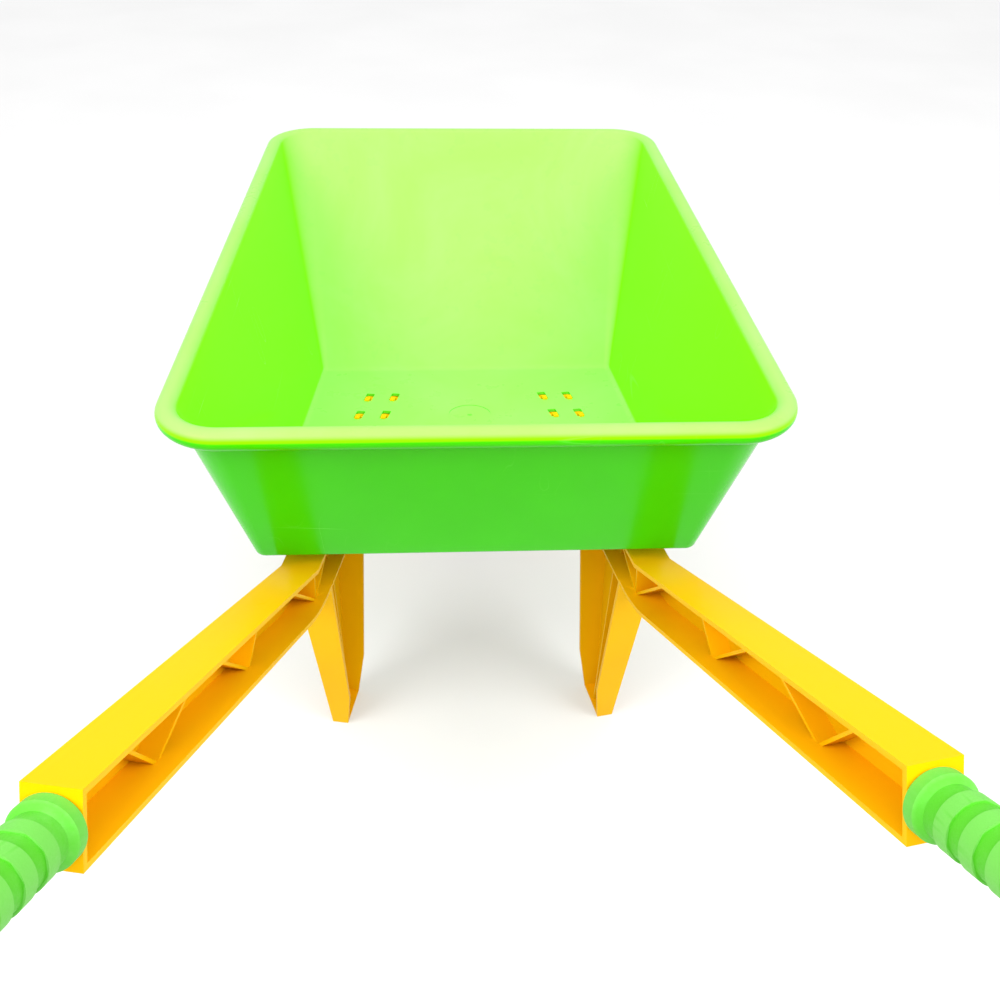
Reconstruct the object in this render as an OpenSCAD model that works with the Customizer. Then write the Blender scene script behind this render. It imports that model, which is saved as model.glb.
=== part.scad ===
// Child's plastic wheelbarrow. Millimetres, +Y towards the wheel, +X right, +Z up.
// The origin is on the ground, under the middle of the overall box.

/* [Tray] */
// Width over the rim at the rear
tray_width = 370; // [350:1:460]
// Width over the rim at the front
tray_front_width = 355; // [340:1:430]
// Length over the rim
tray_length = 521; // [480:1:640]
// Height of the rim's top above the ground
rim_height = 386; // [340:1:480]
// Depth from the rim's top to the floor, at the rear
depth_rear = 136; // [115:1:165]
// Depth from the rim's top to the floor, at the front
depth_front = 167; // [145:1:205]
// Floor width at its rear edge
floor_width_rear = 291; // [270:1:320]
// Floor width at its front edge
floor_width_front = 259; // [240:1:300]
// Distance from the rim's rear edge to the floor's rear edge
floor_start = 65; // [50:1:80]
// Length of the floor
floor_length = 293; // [240:1:350]
// Wall thickness of the tray
tray_wall = 2.6; // [2:0.1:3.2]
// How far the rolled rim reaches out from the opening
rim_reach = 14; // [12:1:18]
// Depth of the rolled rim
rim_drop = 13; // [11:1:16]
// Corner radius of the rim, outside
rim_corner = 40; // [32:1:50]
// Corner radius of the floor
floor_corner = 5; // [3:1:9]

/* [Side frames] */
// Distance between the frames' outer faces at the tray's rear edge
frame_spread = 294; // [280:1:310]
// Depth of the open channel
bar_depth = 26; // [24:1:34]
// Wall thickness of the frames
frame_wall = 3; // [2.4:0.1:3.6]
// Where the handle bends up, ahead of the rim's rear edge
bend_start = 73; // [60:1:78]
// Rise of the handle
handle_rise = 25; // [20:0.2:30]
// Height of the handle bar, square to its length
bar_height = 36; // [30:1:44]
// Length of the handle bar from the bend to the grip
bar_length = 318; // [240:1:345]
// How far the frames stand clear under the tray at the bend
bend_gap = 14; // [8:0.5:18]
// Height of the beam at the bend
beam_height = 37.5; // [34:0.1:46]
// Where the leg starts, ahead of the rim's rear edge
leg_start = 94; // [84:1:105]
// Width of the leg where it meets the beam
leg_top_width = 97; // [80:1:115]
// Lean of the leg's rear flange, over its height
leg_lean = 45; // [36:1:54]
// Length of the sole
sole_length = 38; // [32:1:46]
// Width of the sole
sole_width = 13.3; // [11:0.1:16]
// Depth of the leg's channel above the sole
ankle_depth = 20; // [17:1:24]
// Depth of the channel beside the wheel
fork_depth = 18; // [15:1:21]
// Depth of the truss ribs in the channel
rib_depth = 15; // [12:1:20]

/* [Floor slots and hooks] */
// Distance from the floor's front edge back to the front row of slots
slot_inset = 56.5; // [46:0.5:90]
// Distance between the two rows of slots
slot_pitch = 33.5; // [28:0.5:38]
// Distance between a frame's two columns of slots
slot_spacing = 21.5; // [19:0.5:24]
// Width of a slot
slot_width = 7; // [6:0.5:8]
// Length of a slot
slot_length = 14; // [12:0.5:16]

/* [Wheel] */
// Diameter over the tyre
wheel_d = 190; // [150:1:230]
// Width of the tyre
wheel_width = 56; // [46:1:68]
// Distance from the rim's rear edge to the axle
axle_reach = 455; // [440:1:500]
// Diameter of the axle
axle_d = 10; // [8:1:12]
// Thickness of the tyre
tyre_thickness = 12; // [10:1:16]
// Number of tread grooves
tread_grooves = 18; // [12:1:24]

/* [Grips] */
// Length of a grip
grip_length = 105; // [95:1:130]
// Diameter of a grip
grip_d = 31; // [28:0.5:34]
// Diameter of the stub that carries the grip
stub_d = 20; // [18:1:22]

/* [Hidden] */
$fn = 48;

tray_green = [0.36, 0.84, 0.03];
frame_yellow = [1.0, 0.78, 0.03];
part_yellow = [0.98, 0.72, 0.02];
steel = [0.72, 0.73, 0.75];
tyre_grey = [0.12, 0.12, 0.13];
white_nylon = [0.92, 0.92, 0.88];

eps = 0.01;            // overlap that keeps cuts clean
play = 0.05;           // radial clearance of the wheel on its axle
press = 0.05;          // radial squeeze of a press fit
side_gap = 0.3;        // end float of the wheel
snug = 0.02;           // clearance between fixed round pieces

wheel_r = wheel_d / 2;
axle_r = axle_d / 2;
boss_wall = 11;
boss_r = axle_r + boss_wall;
boss_proud = 2;        // how far the boss stands out of the frame's outer face
side_clear = 14.6;     // from the tyre to the frame's edge
bush_wall = 4;
bush_r = axle_r + bush_wall;
hub_wall = 6;
hub_r = bush_r + hub_wall;
hub_overhang = 5;      // how far the hub stands out past the tyre
hub_x = wheel_width / 2 + hub_overhang;
bush_flange = 1.5;
bush_flange_r = bush_r + 4;
washer_x = hub_x + bush_flange + side_gap;
boss_x = wheel_width / 2 + 10;

floor_angle = atan((depth_front - depth_rear) / floor_length);
toe = atan((frame_spread / 2 - wheel_width / 2 - side_clear - fork_depth) / axle_reach);

// Frame coordinates: s runs forward along the frame from the rim's rear edge, z is up.
function reach(s) = s * cos(toe);
function deck(s) = rim_height - depth_rear - tray_wall / cos(floor_angle)
    - (reach(s) - floor_start) * tan(floor_angle);
function floor_z(y) = rim_height - depth_rear - (y - floor_start) * tan(floor_angle);
function outer_x(y) = frame_spread / 2 - y * tan(toe);

bend_z = deck(bend_start) - bend_gap;
beam_z = bend_z - beam_height;
leg_top_end = leg_start + leg_top_width;
leg_bottom = leg_start + leg_lean;
sole_end = leg_bottom + sole_length;
axle_s = axle_reach / cos(toe);
deck_end_gap = 8;      // the top flange stops this far short of the floor's front edge
deck_end = (floor_start + floor_length) / cos(toe) - deck_end_gap;
slot_start = floor_start + floor_length - slot_inset - slot_pitch;
seat_past = 10;        // from the leg's start to where the frame starts to carry the tray
seat_ramp = 12;        // length over which its top rises to the tray
seat_start = leg_start + seat_past;
// Underside of the beam's top flange
function under_top(s) = (s < seat_start ? bend_z : deck(s)) - frame_wall / 2;

// A point on the handle: run along it from the bend, drop square to it from its top
function bar_point(run, drop) = [
    bend_start - run * cos(handle_rise) - drop * sin(handle_rise),
    bend_z + run * sin(handle_rise) - drop * cos(handle_rise)];
mid_drop = bar_height / 2;
// Where the handle's underside comes down to the beam's underside
lower_run = (beam_z - bar_point(0, bar_height)[1]) / sin(handle_rise);
lower_meet = bar_point(lower_run, bar_height);
// Half length of the curve that joins handle and beam, which ends before the leg starts
blend = min(24, leg_start - lower_meet[0] - frame_wall);

// Overall box along Y, for the origin: the rearmost points are on the plugs' shoulders
plug_head = 3;
plug_step = 1.8;
plug_edge_r = grip_d / 2 - 4;
plug_edge = bar_point(bar_length + grip_length + plug_step, mid_drop);
plug_lean = sqrt(pow(sin(handle_rise) * cos(toe), 2) + pow(sin(toe), 2));
rear_end = reach(plug_edge[0]) - bar_depth / 2 * sin(toe) - plug_edge_r * plug_lean;
front_end = max(tray_length, axle_reach + wheel_r);
y0 = -(rear_end + front_end) / 2;

// Straight distance, unit vector and a mitred inset of an outline
function unit(v) = v / norm(v);
function left_of(a, b) = let (d = unit(b - a)) [-d[1], d[0]];
function inset(pts, t) = [for (i = [0 : len(pts) - 1])
    let (n = len(pts))
    let (a = left_of(pts[(i + n - 1) % n], pts[i]))
    let (b = left_of(pts[i], pts[(i + 1) % n]))
    pts[i] + t * (a + b) / (1 + a * b)];
// Point on a smooth three-point curve
function bend_at(a, b, c, t) = (1 - t) * (1 - t) * a + 2 * t * (1 - t) * b + t * t * c;

// ---------------------------------------------------------------- tray

// Corner centres of the rim, with the corner radius already taken off
rim_corners = [for (c = [[-1, 0], [1, 0], [1, 1], [-1, 1]])
    let (w = c[1] == 0 ? tray_width : tray_front_width)
    [c[0] * (w / 2 - rim_corner), c[1] == 0 ? rim_corner : tray_length - rim_corner]];
// Corner centres of the floor
floor_corners = [for (c = [[-1, 0], [1, 0], [1, 1], [-1, 1]])
    let (w = c[1] == 0 ? floor_width_rear : floor_width_front)
    [c[0] * (w / 2 - floor_corner),
     (c[1] == 0 ? floor_corner : floor_length - floor_corner) / cos(floor_angle)]];

module rim_disc(r, low, high) {
    for (p = rim_corners)
        translate([p[0], y0 + p[1], low]) cylinder(r = r, h = high - low, $fn = 32);
}

// Plates at the floor's corners, in the sloping floor plane, grown by a wall
module floor_disc(grow) {
    translate([0, y0 + floor_start, rim_height - depth_rear])
        rotate([-floor_angle, 0, 0])
            for (p = floor_corners)
                translate([p[0], p[1], -grow]) cylinder(r = floor_corner + grow, h = 0.1, $fn = 32);
}

// The space inside the tray
module tray_inside() {
    hull() {
        floor_disc(0);
        rim_disc(rim_corner - rim_reach, rim_height - 0.1, rim_height + 1);
    }
}

module tray_shell() {
    hull() {
        floor_disc(tray_wall);
        rim_disc(rim_corner - rim_reach + tray_wall, rim_height - 1, rim_height);
    }
}

rim_roll = 5;          // rounding of the rim's outer edge
module rim_solid() {
    hull() {
        rim_disc(rim_corner, rim_height - rim_drop, rim_height - rim_roll);
        rim_disc(rim_corner - rim_roll * 0.3, rim_height - rim_drop, rim_height - rim_roll * 0.3);
        rim_disc(rim_corner - rim_roll, rim_height - rim_drop, rim_height);
    }
}

// The hollow under the rolled rim
module rim_hollow() {
    hull() rim_disc(rim_corner - tray_wall, rim_height - rim_drop - 1, rim_height - rim_roll - tray_wall);
}

slot_offset = 2;       // how far the slots' middle lies inwards of the channel's middle

// Places a child at each slot of the right frame: x across, y along the frame, z off the floor
module at_slots() {
    slot_shift = bar_depth / 2 + slot_offset;
    for (row = [0, 1]) for (col = [-0.5, 0.5]) {
        y = slot_start + row * slot_pitch;
        x = outer_x(y) - slot_shift - col * slot_spacing;
        translate([x, y0 + y, floor_z(y)])
            rotate([-floor_angle, 0, 0]) rotate([0, 0, toe]) children();
    }
}

module slot_cut() {
    translate([-slot_width / 2, -slot_length / 2, -tray_wall * 2])
        cube([slot_width, slot_length, tray_wall * 3]);
}

module tray() {
    color(tray_green) difference() {
        union() {
            tray_shell();
            difference() {
                rim_solid();
                rim_hollow();
            }
        }
        tray_inside();
        at_slots() slot_cut();
        mirror([1, 0, 0]) at_slots() slot_cut();
    }
}

// ---------------------------------------------------------------- side frames

fork_low = wheel_r - boss_r;
fork_high = wheel_r + boss_r;
fork_flat = 30;        // level run of the lower flange ahead of the leg
curve_steps = 4;

outline = concat(
    [bar_point(bar_length, bar_height)],
    [for (i = [0 : curve_steps])
        bend_at(lower_meet - blend * [cos(handle_rise), -sin(handle_rise)], lower_meet,
            lower_meet + blend * [1, 0], i / curve_steps)],
    [[leg_start, beam_z]],
    [[leg_bottom, 0]],
    [[sole_end, 0]],
    [[leg_top_end, beam_z]],
    [[leg_top_end + fork_flat, beam_z]],
    [[axle_s - boss_r * 0.7, fork_low + boss_r * 0.25]],
    [[axle_s + boss_r * 0.6, fork_high - boss_r * 0.5]],
    [[axle_s, fork_high - 1]],
    [[deck_end, deck(deck_end)]],
    [[seat_start, deck(seat_start)]],
    [[seat_start - seat_ramp, bend_z]],
    [[bend_start, bend_z]],
    [bar_point(bar_length, 0)]);

// Turns a drawing in frame coordinates into the right frame's plane, its outer face at x = 0
module in_frame() {
    translate([frame_spread / 2, y0, 0]) rotate([0, 0, toe]) rotate([90, 0, 90]) children();
}

// Extrudes a drawing from one depth to another, measured inwards from the outer face
module layer(from, to) {
    translate([0, 0, -to]) linear_extrude(to - from) children();
}

// A straight rib between two points of the frame drawing
rib_wall = frame_wall * 2 / 3;
module rib(a, b) {
    d = b - a;
    translate(a) rotate(atan2(d[1], d[0])) translate([0, -rib_wall / 2]) square([norm(d), rib_wall]);
}

// Ribs that zigzag along the handle between its two flanges
rib_turns = [0.26, 0.32, 0.54, 0.715, 0.865];    // where they meet a flange, as shares of the handle
module handle_ribs() {
    edge = frame_wall / 2;
    for (i = [0 : len(rib_turns) - 2]) {
        down = i % 2 == 0;
        rib(bar_point(rib_turns[i] * bar_length, down ? edge : bar_height - edge),
            bar_point(rib_turns[i + 1] * bar_length, down ? bar_height - edge : edge));
    }
}

// Three ribs that fan out from the beam's lower flange
fan_foot = 12;                          // where they start, ahead of the flange's corner
fan_back = 50;                          // where the first ends, along the handle from the bend
fan_tops = [12, 80];                    // where the others end, ahead of the bend
module bend_ribs() {
    foot = [lower_meet[0] + fan_foot, beam_z + frame_wall / 2];
    rib(foot, bar_point(fan_back, frame_wall / 2));
    for (run = fan_tops)
        rib(foot, [bend_start + run, under_top(bend_start + run)]);
}

// Zigzag ribs in the beam under the tray
module beam_ribs() {
    low = beam_z + frame_wall / 2;
    pitch = (leg_top_end - leg_start) / 3;
    for (i = [0 : 3]) {
        a = leg_start + i * pitch;
        top = [a + pitch / 2, under_top(a + pitch / 2)];
        rib([a, low], top);
        rib(top, [a + pitch, low]);
    }
}

// Rib down the middle of the leg
leg_rib_depth = 11;
module leg_rib() {
    rib([leg_start + leg_top_width / 2, beam_z + 1], [(leg_bottom + sole_end) / 2, 1]);
}

// The channel is shallower below the beam, down to the narrow sole, and beside the wheel
ankle_height = 44;
trim_drop = 1;         // how far under the beam the legs start to get shallower
trim_past = 5;         // how far the trims reach past what they cut
module leg_trim() {
    span = leg_top_width + leg_lean + 2 * trim_past;
    past = bar_depth + trim_past;
    translate([leg_start - trim_past, 0, 0]) rotate([0, 90, 0]) linear_extrude(span)
        polygon([[bar_depth + eps, beam_z - trim_drop], [ankle_depth, ankle_height], [sole_width, 0],
            [sole_width, -1], [past, -1], [past, beam_z - trim_drop]]);
}

fork_ease = 34;        // where the channel starts to get shallower, behind the tyre
fork_taper = 40;       // over this length
module fork_trim() {
    start = axle_s - wheel_r - fork_ease;
    finish = axle_s + boss_r + trim_past;
    past = bar_depth + trim_past;
    translate([0, -1, 0]) rotate([-90, 0, 0]) linear_extrude(rim_height)
        polygon([[start, bar_depth + eps], [start + fork_taper, fork_depth], [finish, fork_depth],
            [finish, past], [start, past]]);
}

// Stub and end wall that carry the grip, along the handle's middle line
module at_handle_end() {
    p = bar_point(bar_length, mid_drop);
    translate([p[0], p[1], -bar_depth / 2]) rotate([0, 0, -handle_rise]) rotate([0, -90, 0]) children();
}

stub_wall = 3;
stub_inset = 6;        // how far the stub ends short of the grip's end
stub_solid = 8;        // how much of the stub is solid next to the handle
stub_length = grip_length - stub_inset;
stub_bore = stub_d / 2 - stub_wall;

hook_play = 1.5;       // beside the hook, and
hook_slack = 0.4;      // behind its stem
hook_width = slot_width - 2 * hook_play;
hook_tab = 4;          // length of the hook's stem along the slot
hook_barb = 2;         // how far the barb reaches past the slot's rear edge
hook_rise = 1.4;       // height of the barb above the floor
hook_lift = 0.2;       // clearance under the barb

module hook() {
    stem_rear = -slot_length / 2 + hook_slack;
    translate([-hook_width / 2, stem_rear, -tray_wall - frame_wall])
        cube([hook_width, hook_tab, tray_wall + frame_wall + hook_lift + hook_rise]);
    translate([-hook_width / 2, -slot_length / 2 - hook_barb, hook_lift])
        cube([hook_width, hook_barb + hook_tab, hook_rise]);
}

// Wider shelf on the top flange that carries the hooks
shelf_drop = 0.1;      // clearance under the tray
shelf_edge = 1;        // from the slots to the shelf's edge
module hook_shelf() {
    from = (slot_start - slot_length) / cos(toe);
    to = (slot_start + slot_pitch + slot_length) / cos(toe);
    low = frame_wall + 2 * shelf_drop;
    layer(bar_depth - 1, bar_depth / 2 + slot_offset + slot_spacing / 2 + slot_width / 2 + shelf_edge)
        polygon([[from, deck(from) - low], [to, deck(to) - low],
            [to, deck(to) - shelf_drop], [from, deck(from) - shelf_drop]]);
}

tie_depth = 16;
tie_height = 24;
tie_gap = 22;          // from the tyre to the tie
tie_drop = 4;          // from the channel's top flange to the tie
tie_end = 26;          // length of the solid ends that take the screws
tie_y = axle_reach - wheel_r - tie_gap - tie_depth / 2;
tie_s = tie_y / cos(toe);
// Height of the frame's top edge over the wheel's fork, ahead of the top flange
fork_slope = (deck(deck_end) - fork_high + 1) / (axle_s - deck_end);
function top_edge(s) = s < deck_end ? deck(s) : deck(deck_end) - (s - deck_end) * fork_slope;
tie_front = (tie_y + tie_depth / 2) / cos(toe);
tie_cover = frame_wall * sqrt(1 + pow(tie_front < deck_end ? tan(floor_angle) : fork_slope, 2));
tie_z = top_edge(tie_front) - tie_cover - tie_drop - tie_height / 2;
screw_r = 2;
screw_play = 0.2;      // around a screw in the piece that it holds down
screw_rise = 6.5;      // distance of each screw from the tie's middle
screw_length = 20;
screw_head_r = 4;
screw_head_h = 2.4;

// Places a child at the right end's two screws, its z axis pointing inwards through the web
module at_tie_screws() {
    in_frame() for (k = [-1, 1])
        translate([tie_s, tie_z + k * screw_rise, 0]) rotate([180, 0, 0]) children();
}

module boss() {
    x1 = outer_x(axle_reach) + boss_proud;
    translate([boss_x, y0 + axle_reach, wheel_r]) rotate([0, 90, 0]) cylinder(r = boss_r, h = x1 - boss_x);
}

module axle_bore() {
    translate([0, y0 + axle_reach, wheel_r]) rotate([0, 90, 0])
        cylinder(r = axle_r + snug, h = tray_width);
}

module side_frame() {
    difference() {
        union() {
            in_frame() difference() {
                union() {
                    layer(0, frame_wall) polygon(outline);
                    layer(0, bar_depth) difference() {
                        polygon(outline);
                        polygon(inset(outline, frame_wall));
                    }
                    layer(0, bar_depth) rib([leg_start + 1, beam_z + 1], [leg_top_end - 1, beam_z + 1]);
                    layer(0, rib_depth) handle_ribs();
                    layer(0, rib_depth + 4) bend_ribs();
                    layer(0, rib_depth) beam_ribs();
                    layer(0, leg_rib_depth) leg_rib();
                }
                leg_trim();
                fork_trim();
            }
            in_frame() hook_shelf();
            in_frame() at_handle_end() translate([0, 0, -frame_wall])
                cylinder(d = stub_d, h = stub_length + frame_wall);
            at_slots() hook();
            boss();
        }
        in_frame() at_handle_end() translate([0, 0, stub_solid]) cylinder(r = stub_bore, h = stub_length);
        axle_bore();
        at_tie_screws() translate([0, 0, -1]) cylinder(r = screw_r + screw_play, h = frame_wall + 2);
    }
}

module side_frame_right() {
    color(frame_yellow) side_frame();
}

module side_frame_left() {
    color(frame_yellow) mirror([1, 0, 0]) side_frame();
}

// ---------------------------------------------------------------- grips

grip_waist = 3;        // how much thinner the grip is behind its collar
grip_rings = 5;
ring_width = 8;
ring_proud = 1.2;
ring_margin = 18;      // from the grip's ends to its first and last rings

module grip() {
    r = grip_d / 2;
    waist = r - grip_waist;
    bead = r - grip_waist / 2;
    pitch = (grip_length - 2 * ring_margin - ring_width) / (grip_rings - 1);
    in_frame() at_handle_end() difference() {
        union() {
            rotate_extrude() polygon([[0, 0], [r - 1, 0], [r, 1], [r, 7], [waist, 10],
                [waist, grip_length - 8], [bead, grip_length - 5], [bead, grip_length - 2],
                [waist, grip_length], [0, grip_length]]);
            for (k = [0 : grip_rings - 1])
                translate([0, 0, ring_margin + k * pitch]) cylinder(r = waist + ring_proud, h = ring_width);
        }
        translate([0, 0, -1]) cylinder(r = stub_d / 2 + snug, h = grip_length + 2);
    }
}

module grip_right() {
    color(tray_green) grip();
}

module grip_left() {
    color(tray_green) mirror([1, 0, 0]) grip();
}

// Plug that closes the grip and the hollow stub behind it
plug_spigot = 14;      // how far it reaches into the stub
module grip_plug() {
    in_frame() at_handle_end() {
        translate([0, 0, grip_length]) rotate_extrude()
            polygon([[0, 0], [plug_edge_r + 1, 0], [plug_edge_r, plug_step],
                [plug_edge_r - 4, plug_head], [0, plug_head]]);
        translate([0, 0, stub_length]) cylinder(d = stub_d, h = grip_length - stub_length);
        translate([0, 0, stub_length - plug_spigot]) cylinder(r = stub_bore - snug, h = plug_spigot + eps);
    }
}

module grip_plug_right() {
    color(frame_yellow) grip_plug();
}

module grip_plug_left() {
    color(frame_yellow) mirror([1, 0, 0]) grip_plug();
}

// ---------------------------------------------------------------- tie between the frames

module front_tie() {
    // The ends follow the toed-in webs
    web_x = frame_wall / cos(toe);
    y1 = tie_y - tie_depth / 2;
    y2 = tie_y + tie_depth / 2;
    x1 = outer_x(y1) - web_x;
    x2 = outer_x(y2) - web_x;
    color(frame_yellow) difference() {
        translate([0, y0, tie_z - tie_height / 2]) linear_extrude(tie_height)
            polygon([[-x1, y1], [x1, y1], [x2, y2], [-x2, y2]]);
        // Pocket on the wheel's side leaves a channel with solid ends for the screws
        translate([tie_end - x2, y0 + y1 + frame_wall, tie_z - tie_height / 2 + frame_wall])
            cube([2 * (x2 - tie_end), tie_depth, tie_height - 2 * frame_wall]);
        at_tie_screws() cylinder(r = screw_r + snug, h = screw_length + 2);
        mirror([1, 0, 0]) at_tie_screws() cylinder(r = screw_r + snug, h = screw_length + 2);
    }
}

// A screw that points along z, with its head below z = 0
module screw(length) {
    cylinder(r = screw_r, h = length);
    translate([0, 0, -screw_head_h]) rotate_extrude()
        polygon([[0, 0], [screw_head_r * 0.75, 0], [screw_head_r, screw_head_h / 2],
            [screw_head_r, screw_head_h], [0, screw_head_h]]);
}

module tie_screws() {
    color(steel) {
        at_tie_screws() screw(screw_length);
        mirror([1, 0, 0]) at_tie_screws() screw(screw_length);
    }
}

// ---------------------------------------------------------------- axle

// Wheel coordinates: z runs along the axle towards the right, the origin is the wheel's centre
module at_wheel() {
    translate([0, y0 + axle_reach, wheel_r]) rotate([0, 90, 0]) children();
}

boss_out = outer_x(axle_reach) + boss_proud;
axle_proud = 7;        // how far the axle stands out of a boss
axle_end = boss_out + axle_proud;
cap_height = 10;

module axle() {
    color(steel) at_wheel() rotate_extrude()
        polygon([[0, -axle_end], [axle_r - 1, -axle_end], [axle_r, 1 - axle_end], [axle_r, axle_end - 1],
            [axle_r - 1, axle_end], [0, axle_end]]);
}

module axle_cap() {
    cap_r = boss_r - 4;
    at_wheel() translate([0, 0, boss_out]) difference() {
        rotate_extrude() polygon([[0, 0], [cap_r, 0], [cap_r, 3], [cap_r - 1.5, cap_height - 3.5],
            [cap_r - 5, cap_height - 1], [0, cap_height]]);
        translate([0, 0, -1]) cylinder(r = axle_r - press, h = axle_proud + 1.2);
    }
}

module axle_cap_right() {
    color(part_yellow) axle_cap();
}

module axle_cap_left() {
    color(part_yellow) mirror([1, 0, 0]) axle_cap();
}

module axle_washer() {
    at_wheel() translate([0, 0, washer_x]) difference() {
        cylinder(r = bush_flange_r, h = boss_x - washer_x);
        translate([0, 0, -1]) cylinder(r = axle_r + snug, h = boss_x);
    }
}

module axle_washer_right() {
    color(white_nylon) axle_washer();
}

module axle_washer_left() {
    color(white_nylon) mirror([1, 0, 0]) axle_washer();
}

// ---------------------------------------------------------------- wheel

rim_r = wheel_r - tyre_thickness;
rim_wall = 4;
lip_r = rim_r + 4;
lip_w = 3;
dish_x = wheel_width / 2 - 9;   // inner face of the wheel's side plate at the rim
plate = 3;
post_r = 5.5;
post_ring = 46;        // radius of the circle of screw posts
bush_length = 20;
head_play = 0.2;       // around a screw's head in its recess
post_count = 3;

// Profile of one half, from the joint at z = 0 out to the hub's end
module half_profile() {
    polygon([[bush_r + snug, 0], [hub_r, 0], [hub_r, dish_x], [rim_r - rim_wall, dish_x - 4],
        [rim_r - rim_wall, 0], [rim_r, 0], [rim_r, wheel_width / 2 - lip_w],
        [lip_r, wheel_width / 2 - lip_w], [lip_r, wheel_width / 2], [rim_r - rim_wall, wheel_width / 2],
        [rim_r - rim_wall - 2, dish_x + plate - 3], [hub_r + 6, dish_x + plate], [hub_r, hub_x],
        [bush_r + snug, hub_x]]);
}

module wheel_half(cut_r) {
    difference() {
        union() {
            rotate_extrude($fn = 96) half_profile();
            for (k = [0 : post_count - 1]) rotate(k * 360 / post_count)
                translate([post_ring, 0, 0]) cylinder(r = post_r, h = dish_x - 1);
        }
        for (k = [0 : post_count - 1]) rotate(k * 360 / post_count)
            translate([post_ring, 0, -1]) cylinder(r = cut_r, h = dish_x - 3);
    }
}

screw_head_x = dish_x + plate - 6;
screw_reach = 12;      // how far the wheel screws reach into the left half

module wheel_half_right() {
    color(part_yellow) at_wheel() difference() {
        wheel_half(screw_r + screw_play);
        for (k = [0 : post_count - 1]) rotate(k * 360 / post_count) {
            translate([post_ring, 0, -1]) cylinder(r = screw_r + screw_play, h = hub_x);
            translate([post_ring, 0, screw_head_x]) cylinder(r = screw_head_r + head_play, h = hub_x);
        }
    }
}

module wheel_half_left() {
    color(part_yellow) at_wheel() mirror([0, 0, 1]) wheel_half(screw_r + snug);
}

module wheel_screws() {
    color(steel) at_wheel() for (k = [0 : post_count - 1]) rotate(k * 360 / post_count)
        translate([post_ring, 0, screw_head_x]) mirror([0, 0, 1]) screw(screw_head_x + screw_reach);
}

module wheel_bush() {
    at_wheel() difference() {
        union() {
            translate([0, 0, hub_x - bush_length]) cylinder(r = bush_r, h = bush_length + eps);
            translate([0, 0, hub_x]) cylinder(r = bush_flange_r, h = bush_flange);
        }
        translate([0, 0, hub_x - bush_length - 1]) cylinder(r = axle_r + play, h = bush_length + 4);
    }
}

module wheel_bush_right() {
    color(white_nylon) wheel_bush();
}

module wheel_bush_left() {
    color(white_nylon) mirror([1, 0, 0]) wheel_bush();
}

groove_width = 5;
groove_depth = 3;
centre_rib = 4;        // half width of the tread's middle, where the grooves stop
module tyre() {
    half = wheel_width / 2 - lip_w;
    color(tyre_grey) at_wheel() difference() {
        rotate_extrude($fn = 96) polygon([[rim_r, -half], [lip_r + 1, -half], [wheel_r - 3, 3 - half],
            [wheel_r - 0.8, 9 - half], [wheel_r, 15 - half], [wheel_r, half - 15], [wheel_r - 0.8, half - 9],
            [wheel_r - 3, half - 3], [lip_r + 1, half], [rim_r, half]]);
        for (k = [0 : tread_grooves - 1]) rotate((k + 0.5) * 360 / tread_grooves)
            for (side = [0, 1]) mirror([0, 0, side])
                translate([wheel_r - groove_depth, -groove_width / 2, centre_rib])
                    cube([2 * groove_depth, groove_width, half + 1 - centre_rib]);
    }
}

tray();
side_frame_left();
side_frame_right();
grip_left();
grip_right();
grip_plug_left();
grip_plug_right();
front_tie();
tie_screws();
axle();
axle_cap_left();
axle_cap_right();
axle_washer_left();
axle_washer_right();
wheel_half_left();
wheel_half_right();
wheel_bush_left();
wheel_bush_right();
wheel_screws();
tyre();
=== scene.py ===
"""Looks of a child's plastic wheelbarrow: a rimmed tray, two side frames, grips and one wheel.

Lengths are in metres, in the row frame: +Y forward, +X right, +Z up.
"""

import math

import bmesh
import bpy
from mathutils import Matrix, Vector


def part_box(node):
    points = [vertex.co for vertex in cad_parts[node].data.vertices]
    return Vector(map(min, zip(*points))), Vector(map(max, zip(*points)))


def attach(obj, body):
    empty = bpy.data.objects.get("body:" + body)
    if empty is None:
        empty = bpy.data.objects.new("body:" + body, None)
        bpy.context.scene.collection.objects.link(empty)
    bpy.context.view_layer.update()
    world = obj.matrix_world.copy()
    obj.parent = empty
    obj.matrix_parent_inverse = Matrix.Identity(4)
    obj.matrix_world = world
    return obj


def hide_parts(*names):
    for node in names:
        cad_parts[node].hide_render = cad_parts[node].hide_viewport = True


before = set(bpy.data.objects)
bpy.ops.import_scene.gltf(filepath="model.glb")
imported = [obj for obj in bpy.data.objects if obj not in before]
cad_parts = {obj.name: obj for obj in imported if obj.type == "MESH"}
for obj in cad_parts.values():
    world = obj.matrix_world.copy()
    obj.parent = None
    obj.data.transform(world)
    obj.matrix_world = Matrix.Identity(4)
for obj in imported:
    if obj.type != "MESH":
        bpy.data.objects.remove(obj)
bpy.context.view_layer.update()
MM = 0.001
UP = Vector((0, 0, 1))
TRAY_LO, TRAY_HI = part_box("tray")
REAR_Y = TRAY_LO.y            # the rim's rear edge, which the tray's lengths are measured from
RIM_Z = TRAY_HI.z

# ---------------------------------------------------------------- camera, light and floor

SENSOR_MM = 36
LENS_MM = 37.9
PITCH = math.radians(37.05)   # down from level
YAW = math.radians(3.64)      # to the right of straight ahead
ROLL = math.radians(1.33)     # the camera's right side up
CAMERA_FROM_RIM = Vector((-0.02044, -0.4792, 0.31642))    # from the middle of the rim's rear edge

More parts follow.
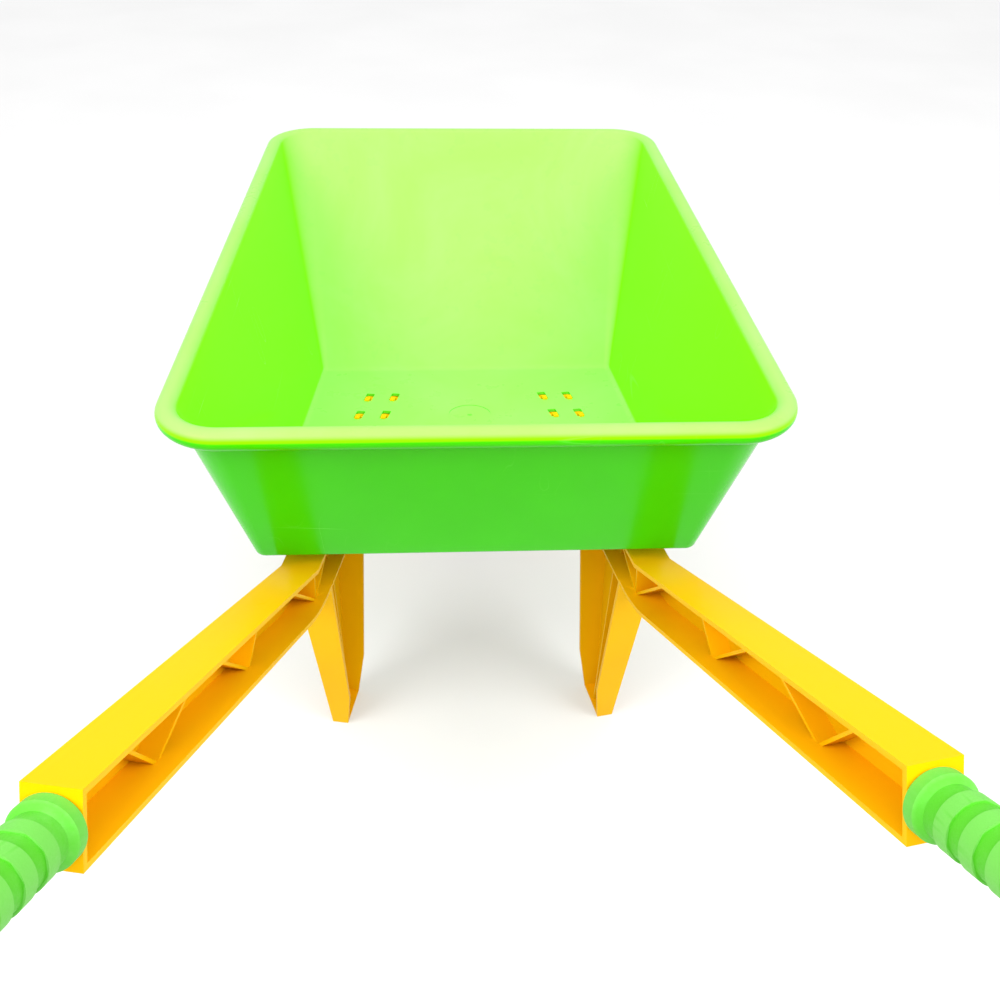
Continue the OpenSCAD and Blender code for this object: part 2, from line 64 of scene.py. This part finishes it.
LIGHTS_AIM = Vector((0, 0.05, 0.25))                      # the middle of the tray
WORLD_LIGHT = 0.72
SKY_PLACE = (-0.25, -0.9, 2.2)
SKY_LIGHT = 1.7
SKY_ANGLE = math.radians(70)
SOFTBOXES = [                 # name, place, watts and size of each square softbox
    ("key", (-0.1, -0.9, 1.35), 3.5, 1.1),
    ("top", (0.1, 0.5, 1.9), 7, 1.2),
    ("left", (-1.1, -0.9, 1.4), 22, 0.9),
    ("right", (1.1, -0.9, 1.4), 22, 0.9),
]

FLOOR_REACH = 6
FLOOR_GREY = 0.44
FLOOR_CLOUD = 0.01            # how far the floor's grey varies either way
FLOOR_GLOW = 0.36


def make_camera():
    """A camera behind the handles, which looks forward and down into the tray."""
    forward = Vector((math.sin(YAW) * math.cos(PITCH), math.cos(YAW) * math.cos(PITCH), -math.sin(PITCH)))
    level = Vector((math.cos(YAW), -math.sin(YAW), 0))
    up = level.cross(forward)
    right = level * math.cos(ROLL) + up * math.sin(ROLL)
    top = up * math.cos(ROLL) - level * math.sin(ROLL)
    camera = bpy.data.objects.new("camera", bpy.data.cameras.new("camera"))
    bpy.context.scene.collection.objects.link(camera)
    turn = Matrix((right, top, -forward)).transposed().to_4x4()
    camera.matrix_world = Matrix.Translation(Vector((0, REAR_Y, RIM_Z)) + CAMERA_FROM_RIM) @ turn
    camera.data.sensor_width = SENSOR_MM
    camera.data.lens = LENS_MM
    bpy.context.scene.camera = camera


def add_light(name, kind, place, energy, **settings):
    """A light at place that points at the middle of the tray."""
    data = bpy.data.lights.new(name, kind)
    data.energy = energy
    for key, value in settings.items():
        setattr(data, key, value)
    light = add_object(name, data)
    light.location = place
    light.rotation_mode = "QUATERNION"
    light.rotation_quaternion = (LIGHTS_AIM - Vector(place)).to_track_quat("-Z", "Y")


def make_studio():
    """Pale surroundings, a wide soft light from above the camera, softboxes, and a pale floor."""
    world = bpy.data.worlds.new("studio")
    world.use_nodes = True
    background = world.node_tree.nodes["Background"]
    background.inputs["Color"].default_value = (1, 1, 1, 1)
    background.inputs["Strength"].default_value = WORLD_LIGHT
    bpy.context.scene.world = world
    add_light("sky", "SUN", SKY_PLACE, SKY_LIGHT, angle=SKY_ANGLE)
    for name, place, watts, size in SOFTBOXES:
        add_light(name, "AREA", place, watts, shape="SQUARE", size=size)
    bpy.context.scene.view_settings.view_transform = "Standard"

    corners = [(x * FLOOR_REACH, y * FLOOR_REACH, 0) for x, y in ((-1, -1), (1, -1), (1, 1), (-1, 1))]
    mesh = bpy.data.meshes.new("floor")
    mesh.from_pydata(corners, [], [(0, 1, 2, 3)])
    floor = add_object("floor", mesh)
    floor.data.materials.append(floor_material())


# ---------------------------------------------------------------- meshes and objects


def add_object(name, data):
    obj = bpy.data.objects.new(name, data)
    bpy.context.scene.collection.objects.link(obj)
    return obj


def to_mesh(bm, name):
    """A new mesh from a bmesh, which is then freed."""
    mesh = bpy.data.meshes.new(name)
    bm.to_mesh(mesh)
    bm.free()
    return mesh


def bake(obj):
    """Turns an object's modifiers into its mesh."""
    bpy.context.view_layer.update()
    graph = bpy.context.evaluated_depsgraph_get()
    mesh = bpy.data.meshes.new_from_object(obj.evaluated_get(graph))
    obj.modifiers.clear()
    obj.data = mesh


def smooth_by_angle(mesh, angle):
    """Smooth faces, with sharp edges where two faces meet at more than this angle."""
    bm = bmesh.new()
    bm.from_mesh(mesh)
    for face in bm.faces:
        face.smooth = True
    for edge in bm.edges:
        edge.smooth = len(edge.link_faces) == 2 and edge.calc_face_angle(0) < angle
    bm.to_mesh(mesh)
    bm.free()


# ---------------------------------------------------------------- materials


class Graph:
    """Short names for building one material's nodes."""

    def __init__(self, name):
        self.material = bpy.data.materials.new(name)
        self.material.use_nodes = True
        self.tree = self.material.node_tree
        self.shader = self.tree.nodes["Principled BSDF"]
        self.object_place = self.add("ShaderNodeTexCoord").outputs["Object"]

    def add(self, kind, **settings):
        node = self.tree.nodes.new(kind)
        for key, value in settings.items():
            setattr(node, key, value)
        return node

    def feed(self, socket, value):
        """Links an output into a socket, or sets the socket to a plain value."""
        if isinstance(value, bpy.types.NodeSocket):
            self.tree.links.new(value, socket)
        else:
            socket.default_value = value

    def set(self, **values):
        """Sets the shader's own sockets, such as Roughness or Coat_Weight."""
        for key, value in values.items():
            self.feed(self.shader.inputs[key.replace("_", " ")], value)

    def stretched(self, factors):
        """Object coordinates scaled by a factor on each axis."""
        node = self.add("ShaderNodeMapping")
        node.inputs["Scale"].default_value = factors
        self.feed(node.inputs["Vector"], self.object_place)
        return node.outputs["Vector"]

    def facing_up(self):
        """1 where the surface faces straight up, 0 where it is upright, -1 where it faces down."""
        node = self.add("ShaderNodeSeparateXYZ")
        self.feed(node.inputs[0], self.add("ShaderNodeTexCoord").outputs["Normal"])
        return node.outputs["Z"]

    def noise(self, scale, detail=3, rough=0.5, place=None, bend=0):
        node = self.add("ShaderNodeTexNoise")
        node.inputs["Scale"].default_value = scale
        node.inputs["Detail"].default_value = detail
        node.inputs["Roughness"].default_value = rough
        node.inputs["Distortion"].default_value = bend
        self.feed(node.inputs["Vector"], place or self.object_place)
        return node.outputs["Fac"]

    def remap(self, value, low, high, to_low=0, to_high=1, kind="SMOOTHSTEP"):
        node = self.add("ShaderNodeMapRange", interpolation_type=kind)
        self.feed(node.inputs["Value"], value)
        node.inputs["From Min"].default_value = low
        node.inputs["From Max"].default_value = high
        node.inputs["To Min"].default_value = to_low
        node.inputs["To Max"].default_value = to_high
        return node.outputs["Result"]

    def maths(self, kind, a, b=0):
        node = self.add("ShaderNodeMath", operation=kind)
        self.feed(node.inputs[0], a)
        self.feed(node.inputs[1], b)
        return node.outputs[0]

    def mix(self, factor, a, b):
        node = self.add("ShaderNodeMix", data_type="RGBA")
        self.feed(node.inputs["Factor"], factor)
        self.feed(node.inputs["A"], a)
        self.feed(node.inputs["B"], b)
        return node.outputs["Result"]

    def bump(self, height, depth, strength, after=None):
        """A bump of this depth in metres, over one that was made before."""
        node = self.add("ShaderNodeBump")
        node.inputs["Strength"].default_value = strength
        node.inputs["Distance"].default_value = depth
        self.feed(node.inputs["Height"], height)
        if after:
            self.feed(node.inputs["Normal"], after)
        return node.outputs["Normal"]

    def hairlines(self, scale, stretch, width=0.004):
        """Thin scratches along one direction, from a stretched noise."""
        lines = self.noise(scale, detail=0, place=self.stretched(stretch))
        return self.remap(self.maths("ABSOLUTE", self.maths("SUBTRACT", lines, 0.5)), 0, width, 1, 0)

    def worn_edges(self, low, high, most):
        """Grows to most where the surface turns sharply outwards."""
        return self.remap(self.add("ShaderNodeNewGeometry").outputs["Pointiness"], low, high, 0, most)


def rgba(red, green, blue):
    return (red, green, blue, 1)


def moulded_plastic(name, base, lit, pale, rough, sheen_and_haze, tint, index):
    """Glossy moulded plastic: cloudy colour, orange peel, hairlines, and scuff marks with painted light and
    a painted sheen on faces that look up.

    base colours faces that look down or sideways, and lit is painted light: a lighter colour for those that
    open upwards. pale colours the scuff marks and a painted sheen on upward faces, which haze strengthens.
    tint colours the reflections, and index is the refractive index.
    """
    g = Graph(name)
    cloud = g.noise(9, detail=4, rough=0.55)
    facing = g.facing_up()
    upward = g.remap(facing, 0.3, 0.72)
    hairs = g.maths("MAXIMUM", g.hairlines(60, (1, 0.03, 0.3)), g.hairlines(52, (0.03, 1, 0.3)))
    hairs = g.maths("MULTIPLY", hairs, g.remap(g.noise(14, detail=2), 0.52, 0.7))

    deep = [0.93 * channel for channel in base]
    colour = g.mix(g.remap(cloud, 0.3, 0.7), rgba(*deep), rgba(*base))
    # painted light: faces that open upwards take the lighter lit colour, as if lit from above
    colour = g.mix(g.remap(facing, 0.02, 0.2), colour, rgba(*lit))
    patches = g.remap(g.noise(7, detail=5, rough=0.65, bend=0.6), 0.3, 0.75)
    # painted sheen: faces that open upwards are painted pale in patches, as a sheen of light from above; the
    # hairlines and worn edges mixed in below are real wear
    scuffs_and_sheen = g.maths("MULTIPLY", upward, g.remap(patches, 0, 1, 0.74, 1, "LINEAR"))
    scuffs_and_sheen = g.maths("MULTIPLY", scuffs_and_sheen, sheen_and_haze)
    scuffs_and_sheen = g.maths("MAXIMUM", scuffs_and_sheen, g.maths("MULTIPLY", hairs, 0.2))
    scuffs_and_sheen = g.maths("MAXIMUM", scuffs_and_sheen, g.worn_edges(0.52, 0.62, 0.35))
    g.set(Base_Color=g.mix(scuffs_and_sheen, colour, rgba(*pale)))

    fine = g.noise(70, detail=4, rough=0.6)
    gloss = g.remap(cloud, 0.25, 0.75, rough - 0.04, rough + 0.05, "LINEAR")
    gloss = g.maths("ADD", gloss, g.maths("MULTIPLY", g.maths("MULTIPLY", upward, fine), sheen_and_haze * 0.35))
    gloss = g.maths("ADD", gloss, g.maths("MULTIPLY", hairs, 0.12))
    g.set(Roughness=gloss, Specular_Tint=rgba(*tint), Specular_IOR_Level=0.3, IOR=index)

    peel = g.bump(g.noise(420, detail=2), 0.03 * MM, 0.5)
    waves = g.bump(g.noise(22, detail=2), 0.5 * MM, 0.25, peel)
    g.set(Normal=g.bump(hairs, -0.04 * MM, 0.5, waves))
    return g.material


def rubber(name, base, pale):
    """Matt rubber: dusty colour, a fine grain and worn edges."""
    g = Graph(name)
    grain = g.noise(900, rough=0.7)
    dust = g.remap(g.noise(26, detail=5, rough=0.65), 0.45, 0.8, 0, 0.5)
    g.set(Base_Color=g.mix(g.maths("MAXIMUM", dust, g.worn_edges(0.51, 0.6, 0.5)), rgba(*base), rgba(*pale)))
    g.set(Roughness=g.remap(grain, 0.3, 0.7, 0.5, 0.72, "LINEAR"), Specular_IOR_Level=0.35)
    g.set(Normal=g.bump(grain, 0.12 * MM, 0.6))
    return g.material


def zinc_steel(name):
    """Zinc-plated steel with a turned grain and dull spots."""
    g = Graph(name)
    spots = g.noise(140, detail=4, rough=0.6)
    grain = g.noise(260, detail=2, place=g.stretched((6, 0.4, 0.4)))
    g.set(Base_Color=g.mix(g.remap(spots, 0.35, 0.7), rgba(0.52, 0.53, 0.55), rgba(0.74, 0.75, 0.76)))
    g.set(Metallic=1.0, Roughness=g.remap(grain, 0.3, 0.7, 0.24, 0.42, "LINEAR"))
    g.set(Normal=g.bump(grain, 0.04 * MM, 0.5))
    return g.material


def nylon(name):
    """Natural nylon, waxy and slightly yellowed."""
    g = Graph(name)
    cloud = g.noise(60)
    g.set(Base_Color=g.mix(g.remap(cloud, 0.3, 0.7), rgba(0.78, 0.77, 0.68), rgba(0.87, 0.87, 0.82)))
    g.set(Roughness=g.remap(cloud, 0.3, 0.7, 0.38, 0.5, "LINEAR"))
    g.set(Normal=g.bump(g.noise(500, detail=2), 0.04 * MM, 0.4))
    return g.material


def floor_material():
    """Plain pale studio floor."""
    g = Graph("studio_floor")
    low, high = FLOOR_GREY - FLOOR_CLOUD, FLOOR_GREY + FLOOR_CLOUD
    g.set(Base_Color=g.mix(g.remap(g.noise(3), 0.3, 0.7), rgba(low, low, low), rgba(high, high, high)))
    g.set(Roughness=0.7, Specular_IOR_Level=0.1)
    g.set(Emission_Color=rgba(1, 1, 1), Emission_Strength=FLOOR_GLOW)
    return g.material


# In each plastic below, lit is painted light on faces that open upwards, pale colours scuff marks and a
# painted sheen on those faces, and haze sets how strong that sheen is and roughens those faces
TRAY_PLASTIC = moulded_plastic(
    "tray_green", base=(0.035, 0.48, 0.001), lit=(0.185, 0.74, 0.001), pale=(0.28, 0.86, 0.15),
    rough=0.17, sheen_and_haze=0.8, tint=(1, 0.95, 0.12), index=1.3)
FRAME_PLASTIC = moulded_plastic(
    "frame_yellow", base=(0.74, 0.405, 0.001), lit=(0.84, 0.41, 0.001), pale=(0.88, 0.45, 0.005),
    rough=0.34, sheen_and_haze=0.2, tint=(1, 0.7, 0.02), index=1.18)
WHEEL_PLASTIC = moulded_plastic(
    "wheel_yellow", base=(0.77, 0.41, 0.002), lit=(0.84, 0.42, 0.002), pale=(0.9, 0.52, 0.04),
    rough=0.3, sheen_and_haze=0.2, tint=(1, 0.8, 0.1), index=1.3)
GRIP_RUBBER = rubber("grip_green", base=(0.07, 0.42, 0.012), pale=(0.2, 0.52, 0.12))
TYRE_RUBBER = rubber("tyre_black", base=(0.016, 0.016, 0.018), pale=(0.075, 0.072, 0.068))
STEEL = zinc_steel("zinc_steel")
NYLON = nylon("nylon_white")

# ---------------------------------------------------------------- tray

TRAY_WIDTH_REAR = TRAY_HI.x - TRAY_LO.x
TRAY_WIDTH_FRONT = 355 * MM
TRAY_LENGTH = TRAY_HI.y - TRAY_LO.y
DEPTH_REAR = 136 * MM
DEPTH_FRONT = 167 * MM
FLOOR_WIDTH_REAR = 291 * MM
FLOOR_WIDTH_FRONT = 259 * MM
FLOOR_START = 65 * MM
FLOOR_LENGTH = 293 * MM
FLOOR_CORNER = 5 * MM
WALL = 2.6 * MM
RIM_CORNER = 40 * MM
BEAD = 6.5 * MM               # radius of the rolled rim
BEAD_WALL = 2.3 * MM
LIP_ANGLE = math.radians(-128)    # where the rolled rim ends, from its outermost point over to its underside
INNER_EASE = 4.4 * MM         # where the wall starts to turn into the floor, inside
OUTER_EASE = 4 * MM           # and outside
FLOOR_SLOPE = (DEPTH_FRONT - DEPTH_REAR) / FLOOR_LENGTH
FLOOR_ANGLE = math.atan(FLOOR_SLOPE)

SIDE_STEPS = 20               # along each side of the tray's outline
CORNER_STEPS = 16             # round each corner
EASE_STEPS = 6                # these four count the steps along the tray's section
WALL_STEPS = 12
BEAD_STEPS = 26
LIP_STEPS = 14
TRAY_SHARP = math.radians(32)


def floor_height(y):
    return RIM_Z - DEPTH_REAR - (y - REAR_Y - FLOOR_START) * FLOOR_SLOPE


def corner_centres(rear_width, front_width, start, length, radius):
    """Centres of an outline's rounded corners, counter-clockwise from the rear left."""
    rear, front = REAR_Y + start + radius, REAR_Y + start + length - radius
    a, b = rear_width / 2 - radius, front_width / 2 - radius
    return [Vector((-a, rear)), Vector((a, rear)), Vector((b, front)), Vector((-b, front))]


def outline(centres, radius):
    """Points and outward normals round a rounded outline, with the same count for any size."""
    normals = []
    for i, centre in enumerate(centres):
        along = (centres[(i + 1) % 4] - centre).normalized()
        normals.append(Vector((along.y, -along.x)))
    points = []
    for i in range(4):
        here, after = centres[i], centres[(i + 1) % 4]
        points += [(here.lerp(after, k / SIDE_STEPS) + radius * normals[i], normals[i])
                   for k in range(SIDE_STEPS + 1)]
        start = math.atan2(normals[i].y, normals[i].x)
        turn = normals[i].angle_signed(normals[(i + 1) % 4])
        for k in range(1, CORNER_STEPS):
            angle = start - turn * k / CORNER_STEPS
            out = Vector((math.cos(angle), math.sin(angle)))
            points.append((after + radius * out, out))
    return points


def turned(out, angle):
    """A unit vector in the upright plane that holds out, turned up from it by an angle."""
    return math.cos(angle) * out + math.sin(angle) * UP


def arc(centre, out, radius, start, stop, steps):
    """Points of an arc in the upright plane that holds out, its angles measured from out."""
    return [centre + radius * turned(out, start + (stop - start) * k / steps) for k in range(steps + 1)]


def rounded(a, corner, b, steps):
    """Points of a smooth turn from a to b round a corner."""
    shares = [k / steps for k in range(steps + 1)]
    return [(1 - t) ** 2 * a + 2 * t * (1 - t) * corner + t * t * b for t in shares]


def straight(a, b, steps):
    """Points between a and b, without the two ends."""
    return [a.lerp(b, k / steps) for k in range(1, steps)]


def tray_section(floor_point, floor_out, rim_point, rim_out):
    """The tray's section at one place of its outline: inner wall, rolled rim, lip and outer wall."""
    rim_dir, floor_dir = rim_out.to_3d(), floor_out.to_3d()
    centre = Vector((rim_point.x, rim_point.y, RIM_Z - BEAD))
    foot = Vector((floor_point.x, floor_point.y, floor_height(floor_point.y)))
    # The straight wall runs from the floor's edge to where it touches the bead
    span = foot - centre
    across, down = span.dot(rim_dir), span.z
    touch = math.atan2(down, across) - math.acos(BEAD / math.hypot(across, down))
    top = centre + BEAD * turned(rim_dir, touch)
    inner_top = centre + (BEAD - BEAD_WALL) * turned(rim_dir, touch)
    # The outer wall's foot lies where it meets the floor's underside
    lean = abs(math.atan(math.tan(touch)))
    outer_foot = foot + floor_dir * (WALL * (1 - math.sin(lean)) / math.cos(lean)) - WALL * UP

    def on_floor(point, distance, lift):
        place = point - floor_dir * distance
        return Vector((place.x, place.y, floor_height(place.y) + lift))

    inner_turn = foot + (top - foot).normalized() * INNER_EASE
    outer_turn = outer_foot + (inner_top - outer_foot).normalized() * OUTER_EASE
    start = touch % (2 * math.pi)
    return (rounded(on_floor(foot, INNER_EASE, 0), foot, inner_turn, EASE_STEPS)
            + straight(inner_turn, top, WALL_STEPS)
            + arc(centre, rim_dir, BEAD, start, LIP_ANGLE, BEAD_STEPS)
            + arc(centre, rim_dir, BEAD - BEAD_WALL, LIP_ANGLE, start, LIP_STEPS)
            + straight(inner_top, outer_turn, WALL_STEPS)
            + rounded(outer_turn, outer_foot, on_floor(outer_foot, OUTER_EASE, -WALL), EASE_STEPS))


def tray_shell():
    """The tray's closed skin, made of one section at each place round its outline."""
    floor_ring = outline(corner_centres(FLOOR_WIDTH_REAR, FLOOR_WIDTH_FRONT, FLOOR_START, FLOOR_LENGTH,
                                        FLOOR_CORNER), FLOOR_CORNER)
    rim_ring = outline(corner_centres(TRAY_WIDTH_REAR, TRAY_WIDTH_FRONT, 0, TRAY_LENGTH, RIM_CORNER),
                       RIM_CORNER - BEAD)
    sections = [tray_section(*low, *high) for low, high in zip(floor_ring, rim_ring)]
    count, rows = len(sections), len(sections[0])
    vertices = [point for section in sections for point in section]
    faces = [(i * rows + k, ((i + 1) % count) * rows + k, ((i + 1) % count) * rows + k + 1, i * rows + k + 1)
             for i in range(count) for k in range(rows - 1)]
    faces.append([i * rows for i in reversed(range(count))])
    faces.append([i * rows + rows - 1 for i in range(count)])
    mesh = bpy.data.meshes.new("tray_shell")
    mesh.from_pydata(vertices, [], faces)
    mesh.validate()
    return mesh


# ---- floor slots, which the side frames' hooks come up through, and the moulding gate

SLOT_PITCH = 33.5 * MM
SLOT_INSET = 56.5 * MM        # from the floor's front edge back to the front row of slots
SLOT_START = FLOOR_START + FLOOR_LENGTH - SLOT_INSET - SLOT_PITCH
SLOT_SPACING = 21.5 * MM
SLOT_WIDTH = 7 * MM
SLOT_LENGTH = 14 * MM
SLOT_CORNER = 1.2 * MM
FRAME_SPREAD = 294 * MM
SLOTS_FROM_FACE = 15 * MM     # from a side frame's outer face to the middle of its slots
TOE = math.radians(10.7519)
CUT_LOW = -3 * WALL           # how far cutters reach under the floor's top
CUT_HIGH = 2 * WALL           # and over it
CORNER_POINTS = 5
GATE_RADIUS = 17.5 * MM
GATE_DEPTH = 0.45 * MM
GATE_REACH = 267 * MM         # from the rim's rear edge to the moulding gate
SPRUE = [(1.9 * MM, 0.1 * MM), (1.1 * MM, 0.5 * MM)]    # radius and height of its two steps
GATE_POINTS = 48
SPRUE_POINTS = 24


def slot_places():
    """A turn and move for each of the eight slots."""
    for row in (0, 1):
        for column in (-0.5, 0.5):
            along = SLOT_START + row * SLOT_PITCH
            across = FRAME_SPREAD / 2 - along * math.tan(TOE) - SLOTS_FROM_FACE - column * SLOT_SPACING
            for side in (-1, 1):
                yield on_sloping_floor(side * across, along) @ Matrix.Rotation(side * TOE, 4, "Z")


def on_sloping_floor(x, along):
    """A turn and move to a place on the floor, this far ahead of the rim's rear edge."""
    y = REAR_Y + along
    return Matrix.Translation((x, y, floor_height(y))) @ Matrix.Rotation(-FLOOR_ANGLE, 4, "X")


def add_prism(bm, points, low, high, place):
    """A closed prism over a flat outline, turned and moved by place."""
    bottom = [bm.verts.new(place @ Vector((x, y, low))) for x, y in points]
    top = [bm.verts.new(place @ Vector((x, y, high))) for x, y in points]
    bm.faces.new(list(reversed(bottom)))
    bm.faces.new(top)
    for i, _ in enumerate(points):
        j = (i + 1) % len(points)
        bm.faces.new((bottom[i], bottom[j], top[j], top[i]))


def rounded_box(width, length, radius):
    """Outline of a rectangle with round corners, about the origin."""
    points = []
    for i, (sx, sy) in enumerate(((1, 1), (-1, 1), (-1, -1), (1, -1))):
        for k in range(CORNER_POINTS + 1):
            a = math.pi / 2 * (i + k / CORNER_POINTS)
            points.append((sx * (width / 2 - radius) + radius * math.cos(a),
                           sy * (length / 2 - radius) + radius * math.sin(a)))
    return points


def circle(radius, count):
    angles = [2 * math.pi * k / count for k in range(count)]
    return [(radius * math.cos(a), radius * math.sin(a)) for a in angles]


def floor_cutters():
    """The slots and the shallow round recess of the moulding gate."""
    bm = bmesh.new()
    for place in slot_places():
        add_prism(bm, rounded_box(SLOT_WIDTH, SLOT_LENGTH, SLOT_CORNER), CUT_LOW, CUT_HIGH, place)
    add_prism(bm, circle(GATE_RADIUS, GATE_POINTS), -GATE_DEPTH, CUT_HIGH, on_sloping_floor(0, GATE_REACH))
    return add_object("floor_cutters", to_mesh(bm, "floor_cutters"))


def make_tray():
    tray = add_object("tray_moulding", tray_shell())
    cutters = floor_cutters()
    cut = tray.modifiers.new("cut", "BOOLEAN")
    cut.operation = "DIFFERENCE"
    cut.solver = "EXACT"
    cut.object = cutters
    bake(tray)
    bpy.data.objects.remove(cutters)
    smooth_by_angle(tray.data, TRAY_SHARP)
    tray.data.materials.clear()
    tray.data.materials.append(TRAY_PLASTIC)
    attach(tray, "frame")
    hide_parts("tray")


def make_gate_mark():
    """The broken-off sprue in the middle of the gate's recess."""
    bm = bmesh.new()
    for radius, height in SPRUE:
        add_prism(bm, circle(radius, SPRUE_POINTS), -WALL, height, on_sloping_floor(0, GATE_REACH))
    mark = add_object("gate_mark", to_mesh(bm, "gate_mark"))
    mark.data.materials.append(TRAY_PLASTIC)
    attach(mark, "frame")


# ---------------------------------------------------------------- pieces on the CAD nodes' own shapes

TINY_STEP = 0.12 * MM         # clearances this small are closed in the visual pieces
FLAT = math.radians(0.1)      # faces that meet at less than this are joined
CORNER = math.radians(28)     # edges sharper than this are rounded
PIECE_SHARP = math.radians(38)

# Node, piece, material, edge radius in millimetres, body and slot
PIECES_ON_EACH_SIDE = [
    ("side_frame", "frame_moulding", FRAME_PLASTIC, 0.8, "frame", "frame_plastic"),
    ("grip", "grip_sleeve", GRIP_RUBBER, 0.9, "frame", "grip_rubber"),
    ("grip_plug", "grip_cap", FRAME_PLASTIC, 0.5, "frame", "frame_plastic"),
    ("axle_cap", "axle_dome", WHEEL_PLASTIC, 0.6, "frame", "wheel_plastic"),
    ("axle_washer", "washer", NYLON, 0.3, "frame", "nylon"),
    ("wheel_half", "wheel_moulding", WHEEL_PLASTIC, 0.7, "wheel", "wheel_plastic"),
    ("wheel_bush", "bush", NYLON, 0.3, "wheel", "nylon"),
]
SINGLE_PIECES = [
    ("front_tie", "tie_moulding", FRAME_PLASTIC, 0.8, "frame", "frame_plastic"),
    ("tie_screws", "tie_screw_set", STEEL, 0.25, "frame", "steel"),
    ("axle", "axle_rod", STEEL, 0.3, "frame", "steel"),
    ("wheel_screws", "wheel_screw_set", STEEL, 0.25, "wheel", "steel"),
    ("tyre", "tyre_ring", TYRE_RUBBER, 0.8, "wheel", "tyre"),
]


def can_round(edge, radius):
    """True for a corner edge that has room for this radius at both ends."""
    if len(edge.link_faces) != 2 or edge.calc_face_angle(0) < CORNER:
        return False
    return min(e.calc_length() for vert in edge.verts for e in vert.link_edges) > 2 * radius


def softened(node, name, radius):
    """A copy of a CAD node's mesh, with its edges rounded as a moulding's are."""
    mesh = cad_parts[node].data.copy()
    mesh.name = name
    bm = bmesh.new()
    bm.from_mesh(mesh)
    bmesh.ops.remove_doubles(bm, verts=bm.verts, dist=TINY_STEP)
    bmesh.ops.dissolve_limit(bm, angle_limit=FLAT, verts=bm.verts, edges=bm.edges)
    corners = [edge for edge in bm.edges if can_round(edge, radius)]
    bmesh.ops.bevel(bm, geom=corners, offset=radius, offset_type="OFFSET", segments=2, profile=0.5,
                    affect="EDGES", clamp_overlap=True)
    bm.to_mesh(mesh)
    bm.free()
    if "custom_normal" in mesh.attributes:
        mesh.attributes.remove(mesh.attributes["custom_normal"])
    mesh.materials.clear()
    return mesh


def make_piece(node, name, material, radius_mm, body, slot):
    """A visible piece in a CAD node's place."""
    piece = add_object(name, softened(node, name, radius_mm * MM))
    piece.data.materials.append(material)
    smooth_by_angle(piece.data, PIECE_SHARP)
    flat = piece.modifiers.new("flat", "WEIGHTED_NORMAL")
    flat.keep_sharp = True
    bake(piece)
    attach(piece, body)
    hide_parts(node)


make_camera()
make_studio()
make_tray()
make_gate_mark()
for side in ("left", "right"):
    for node, name, *rest in PIECES_ON_EACH_SIDE:
        make_piece(f"{node}_{side}", f"{name}_{side}", *rest)
for row in SINGLE_PIECES:
    make_piece(*row)
